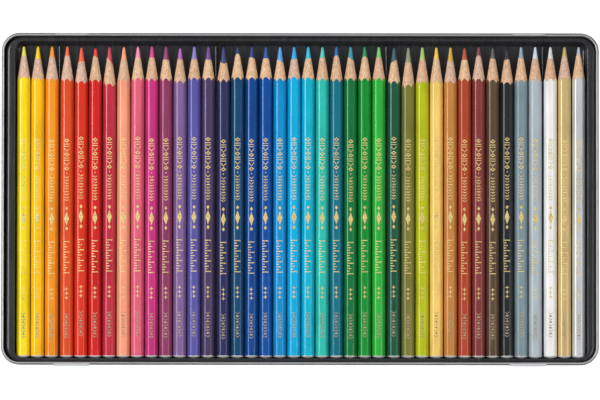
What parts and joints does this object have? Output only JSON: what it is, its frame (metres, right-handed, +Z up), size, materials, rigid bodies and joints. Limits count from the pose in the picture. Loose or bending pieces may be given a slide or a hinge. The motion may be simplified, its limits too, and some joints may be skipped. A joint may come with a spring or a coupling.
{
  "type": "colored pencil tin",
  "caption": "Flat rectangular metal tin with a formed tray holding one row of hexagonal colored pencils, standing open in its upturned lid.",
  "frame": {"origin": "middle of the flat outer face of the lid, on which the tin stands", "axes": "+X along the row of pencils, +Y from the butt ends towards the sharpened tips, +Z up out of the tin"},
  "size_m": [0.3368, 0.1884, 0.0136],
  "materials": {
    "tin_plate": "thin tin plate, satin, rolled edges",
    "tray_plastic": "black vacuum-formed sheet, soft sheen",
    "lacquer_lemon_yellow": "cedar casing with smooth lemon yellow lacquer, white dipped end",
    "lacquer_golden_yellow": "cedar casing with smooth golden yellow lacquer, white dipped end",
    "lacquer_orange": "cedar casing with smooth orange lacquer, white dipped end",
    "lacquer_flame_red": "cedar casing with smooth flame red lacquer, white dipped end",
    "lacquer_vermilion": "cedar casing with smooth vermilion lacquer, white dipped end",
    "lacquer_scarlet": "cedar casing with smooth scarlet lacquer, white dipped end",
    "lacquer_ruby": "cedar casing with smooth ruby lacquer, white dipped end",
    "lacquer_salmon": "cedar casing with smooth salmon lacquer, white dipped end",
    "lacquer_raspberry": "cedar casing with smooth raspberry lacquer, white dipped end",
    "lacquer_magenta": "cedar casing with smooth magenta lacquer, white dipped end",
    "lacquer_plum": "cedar casing with smooth plum lacquer, white dipped end",
    "lacquer_lilac": "cedar casing with smooth lilac lacquer, white dipped end",
    "lacquer_periwinkle": "cedar casing with smooth periwinkle lacquer, white dipped end",
    "lacquer_dark_violet": "cedar casing with smooth dark violet lacquer, white dipped end",
    "lacquer_indigo": "cedar casing with smooth indigo lacquer, white dipped end",
    "lacquer_prussian_blue": "cedar casing with smooth prussian blue lacquer, white dipped end",
    "lacquer_ultramarine": "cedar casing with smooth ultramarine lacquer, white dipped end",
    "lacquer_royal_blue": "cedar casing with smooth royal blue lacquer, white dipped end",
    "lacquer_light_blue": "cedar casing with smooth light blue lacquer, white dipped end",
    "lacquer_sky_blue": "cedar casing with smooth sky blue lacquer, white dipped end",
    "lacquer_turquoise_blue": "cedar casing with smooth turquoise blue lacquer, white dipped end",
    "lacquer_turquoise_green": "cedar casing with smooth turquoise green lacquer, white dipped end",
    "lacquer_teal": "cedar casing with smooth teal lacquer, white dipped end",
    "lacquer_deep_green": "cedar casing with smooth deep green lacquer, white dipped end",
    "lacquer_leaf_green": "cedar casing with smooth leaf green lacquer, white dipped end",
    "lacquer_grass_green": "cedar casing with smooth grass green lacquer, white dipped end",
    "lacquer_fir_green": "cedar casing with smooth fir green lacquer, white dipped end",
    "lacquer_olive": "cedar casing with smooth olive lacquer, white dipped end",
    "lacquer_lime": "cedar casing with smooth lime lacquer, white dipped end",
    "lacquer_cream_yellow": "cedar casing with smooth cream yellow lacquer, white dipped end",
    "lacquer_ochre": "cedar casing with smooth ochre lacquer, white dipped end",
    "lacquer_russet": "cedar casing with smooth russet lacquer, white dipped end",
    "lacquer_red_brown": "cedar casing with smooth red brown lacquer, white dipped end",
    "lacquer_sepia": "cedar casing with smooth sepia lacquer, white dipped end",
    "lacquer_black": "cedar casing with smooth black lacquer, white dipped end",
    "lacquer_blue_grey": "cedar casing with smooth blue grey lacquer, white dipped end",
    "lacquer_light_grey": "cedar casing with smooth light grey lacquer, white dipped end",
    "lacquer_white": "cedar casing with smooth white lacquer, white dipped end",
    "lacquer_gold": "cedar casing with smooth gold lacquer, white dipped end",
    "lacquer_silver": "cedar casing with smooth silver lacquer, white dipped end"
  },
  "bodies": {
    "lid": {"lid_floor": "tin_plate", "lid_sides": "tin_plate", "lid_corners": "tin_plate"},
    "base": {"base_floor": "tin_plate", "base_sides": "tin_plate", "base_corners": "tin_plate"},
    "tray": {"tray_wells": "tray_plastic", "tray_platform": "tray_plastic", "tray_dividers": "tray_plastic", "tray_sides": "tray_plastic", "tray_corners": "tray_plastic"},
    "pencil_01": {"pencil_01_lemon_yellow": "lacquer_lemon_yellow"},
    "pencil_02": {"pencil_02_golden_yellow": "lacquer_golden_yellow"},
    "pencil_03": {"pencil_03_orange": "lacquer_orange"},
    "pencil_04": {"pencil_04_flame_red": "lacquer_flame_red"},
    "pencil_05": {"pencil_05_vermilion": "lacquer_vermilion"},
    "pencil_06": {"pencil_06_scarlet": "lacquer_scarlet"},
    "pencil_07": {"pencil_07_ruby": "lacquer_ruby"},
    "pencil_08": {"pencil_08_salmon": "lacquer_salmon"},
    "pencil_09": {"pencil_09_raspberry": "lacquer_raspberry"},
    "pencil_10": {"pencil_10_magenta": "lacquer_magenta"},
    "pencil_11": {"pencil_11_plum": "lacquer_plum"},
    "pencil_12": {"pencil_12_lilac": "lacquer_lilac"},
    "pencil_13": {"pencil_13_periwinkle": "lacquer_periwinkle"},
    "pencil_14": {"pencil_14_dark_violet": "lacquer_dark_violet"},
    "pencil_15": {"pencil_15_indigo": "lacquer_indigo"},
    "pencil_16": {"pencil_16_prussian_blue": "lacquer_prussian_blue"},
    "pencil_17": {"pencil_17_ultramarine": "lacquer_ultramarine"},
    "pencil_18": {"pencil_18_royal_blue": "lacquer_royal_blue"},
    "pencil_19": {"pencil_19_light_blue": "lacquer_light_blue"},
    "pencil_20": {"pencil_20_sky_blue": "lacquer_sky_blue"},
    "pencil_21": {"pencil_21_turquoise_blue": "lacquer_turquoise_blue"},
    "pencil_22": {"pencil_22_turquoise_green": "lacquer_turquoise_green"},
    "pencil_23": {"pencil_23_teal": "lacquer_teal"},
    "pencil_24": {"pencil_24_deep_green": "lacquer_deep_green"},
    "pencil_25": {"pencil_25_leaf_green": "lacquer_leaf_green"},
    "pencil_26": {"pencil_26_grass_green": "lacquer_grass_green"},
    "pencil_27": {"pencil_27_fir_green": "lacquer_fir_green"},
    "pencil_28": {"pencil_28_olive": "lacquer_olive"},
    "pencil_29": {"pencil_29_lime": "lacquer_lime"},
    "pencil_30": {"pencil_30_cream_yellow": "lacquer_cream_yellow"},
    "pencil_31": {"pencil_31_ochre": "lacquer_ochre"},
    "pencil_32": {"pencil_32_russet": "lacquer_russet"},
    "pencil_33": {"pencil_33_red_brown": "lacquer_red_brown"},
    "pencil_34": {"pencil_34_sepia": "lacquer_sepia"},
    "pencil_35": {"pencil_35_black": "lacquer_black"},
    "pencil_36": {"pencil_36_blue_grey": "lacquer_blue_grey"},
    "pencil_37": {"pencil_37_light_grey": "lacquer_light_grey"},
    "pencil_38": {"pencil_38_white": "lacquer_white"},
    "pencil_39": {"pencil_39_gold": "lacquer_gold"},
    "pencil_40": {"pencil_40_silver": "lacquer_silver"}
  },
  "joints": [
    {"name": "base_lift", "type": "slide", "parent": "lid", "child": "base", "axis": [0, 0, 1], "range_m": [0, 0.03]},
    {"name": "tray_lift", "type": "slide", "parent": "base", "child": "tray", "axis": [0, 0, 1], "range_m": [0, 0.025]},
    {"name": "pencil_01_lift", "type": "slide", "parent": "tray", "child": "pencil_01", "axis": [0, 0, 1], "range_m": [0, 0.02]},
    {"name": "pencil_02_lift", "type": "slide", "parent": "tray", "child": "pencil_02", "axis": [0, 0, 1], "range_m": [0, 0.02]},
    {"name": "pencil_03_lift", "type": "slide", "parent": "tray", "child": "pencil_03", "axis": [0, 0, 1], "range_m": [0, 0.02]},
    {"name": "pencil_04_lift", "type": "slide", "parent": "tray", "child": "pencil_04", "axis": [0, 0, 1], "range_m": [0, 0.02]},
    {"name": "pencil_05_lift", "type": "slide", "parent": "tray", "child": "pencil_05", "axis": [0, 0, 1], "range_m": [0, 0.02]},
    {"name": "pencil_06_lift", "type": "slide", "parent": "tray", "child": "pencil_06", "axis": [0, 0, 1], "range_m": [0, 0.02]},
    {"name": "pencil_07_lift", "type": "slide", "parent": "tray", "child": "pencil_07", "axis": [0, 0, 1], "range_m": [0, 0.02]},
    {"name": "pencil_08_lift", "type": "slide", "parent": "tray", "child": "pencil_08", "axis": [0, 0, 1], "range_m": [0, 0.02]},
    {"name": "pencil_09_lift", "type": "slide", "parent": "tray", "child": "pencil_09", "axis": [0, 0, 1], "range_m": [0, 0.02]},
    {"name": "pencil_10_lift", "type": "slide", "parent": "tray", "child": "pencil_10", "axis": [0, 0, 1], "range_m": [0, 0.02]},
    {"name": "pencil_11_lift", "type": "slide", "parent": "tray", "child": "pencil_11", "axis": [0, 0, 1], "range_m": [0, 0.02]},
    {"name": "pencil_12_lift", "type": "slide", "parent": "tray", "child": "pencil_12", "axis": [0, 0, 1], "range_m": [0, 0.02]},
    {"name": "pencil_13_lift", "type": "slide", "parent": "tray", "child": "pencil_13", "axis": [0, 0, 1], "range_m": [0, 0.02]},
    {"name": "pencil_14_lift", "type": "slide", "parent": "tray", "child": "pencil_14", "axis": [0, 0, 1], "range_m": [0, 0.02]},
    {"name": "pencil_15_lift", "type": "slide", "parent": "tray", "child": "pencil_15", "axis": [0, 0, 1], "range_m": [0, 0.02]},
    {"name": "pencil_16_lift", "type": "slide", "parent": "tray", "child": "pencil_16", "axis": [0, 0, 1], "range_m": [0, 0.02]},
    {"name": "pencil_17_lift", "type": "slide", "parent": "tray", "child": "pencil_17", "axis": [0, 0, 1], "range_m": [0, 0.02]},
    {"name": "pencil_18_lift", "type": "slide", "parent": "tray", "child": "pencil_18", "axis": [0, 0, 1], "range_m": [0, 0.02]},
    {"name": "pencil_19_lift", "type": "slide", "parent": "tray", "child": "pencil_19", "axis": [0, 0, 1], "range_m": [0, 0.02]},
    {"name": "pencil_20_lift", "type": "slide", "parent": "tray", "child": "pencil_20", "axis": [0, 0, 1], "range_m": [0, 0.02]},
    {"name": "pencil_21_lift", "type": "slide", "parent": "tray", "child": "pencil_21", "axis": [0, 0, 1], "range_m": [0, 0.02]},
    {"name": "pencil_22_lift", "type": "slide", "parent": "tray", "child": "pencil_22", "axis": [0, 0, 1], "range_m": [0, 0.02]},
    {"name": "pencil_23_lift", "type": "slide", "parent": "tray", "child": "pencil_23", "axis": [0, 0, 1], "range_m": [0, 0.02]},
    {"name": "pencil_24_lift", "type": "slide", "parent": "tray", "child": "pencil_24", "axis": [0, 0, 1], "range_m": [0, 0.02]},
    {"name": "pencil_25_lift", "type": "slide", "parent": "tray", "child": "pencil_25", "axis": [0, 0, 1], "range_m": [0, 0.02]},
    {"name": "pencil_26_lift", "type": "slide", "parent": "tray", "child": "pencil_26", "axis": [0, 0, 1], "range_m": [0, 0.02]},
    {"name": "pencil_27_lift", "type": "slide", "parent": "tray", "child": "pencil_27", "axis": [0, 0, 1], "range_m": [0, 0.02]},
    {"name": "pencil_28_lift", "type": "slide", "parent": "tray", "child": "pencil_28", "axis": [0, 0, 1], "range_m": [0, 0.02]},
    {"name": "pencil_29_lift", "type": "slide", "parent": "tray", "child": "pencil_29", "axis": [0, 0, 1], "range_m": [0, 0.02]},
    {"name": "pencil_30_lift", "type": "slide", "parent": "tray", "child": "pencil_30", "axis": [0, 0, 1], "range_m": [0, 0.02]},
    {"name": "pencil_31_lift", "type": "slide", "parent": "tray", "child": "pencil_31", "axis": [0, 0, 1], "range_m": [0, 0.02]},
    {"name": "pencil_32_lift", "type": "slide", "parent": "tray", "child": "pencil_32", "axis": [0, 0, 1], "range_m": [0, 0.02]},
    {"name": "pencil_33_lift", "type": "slide", "parent": "tray", "child": "pencil_33", "axis": [0, 0, 1], "range_m": [0, 0.02]},
    {"name": "pencil_34_lift", "type": "slide", "parent": "tray", "child": "pencil_34", "axis": [0, 0, 1], "range_m": [0, 0.02]},
    {"name": "pencil_35_lift", "type": "slide", "parent": "tray", "child": "pencil_35", "axis": [0, 0, 1], "range_m": [0, 0.02]},
    {"name": "pencil_36_lift", "type": "slide", "parent": "tray", "child": "pencil_36", "axis": [0, 0, 1], "range_m": [0, 0.02]},
    {"name": "pencil_37_lift", "type": "slide", "parent": "tray", "child": "pencil_37", "axis": [0, 0, 1], "range_m": [0, 0.02]},
    {"name": "pencil_38_lift", "type": "slide", "parent": "tray", "child": "pencil_38", "axis": [0, 0, 1], "range_m": [0, 0.02]},
    {"name": "pencil_39_lift", "type": "slide", "parent": "tray", "child": "pencil_39", "axis": [0, 0, 1], "range_m": [0, 0.02]},
    {"name": "pencil_40_lift", "type": "slide", "parent": "tray", "child": "pencil_40", "axis": [0, 0, 1], "range_m": [0, 0.02]}
  ]
}
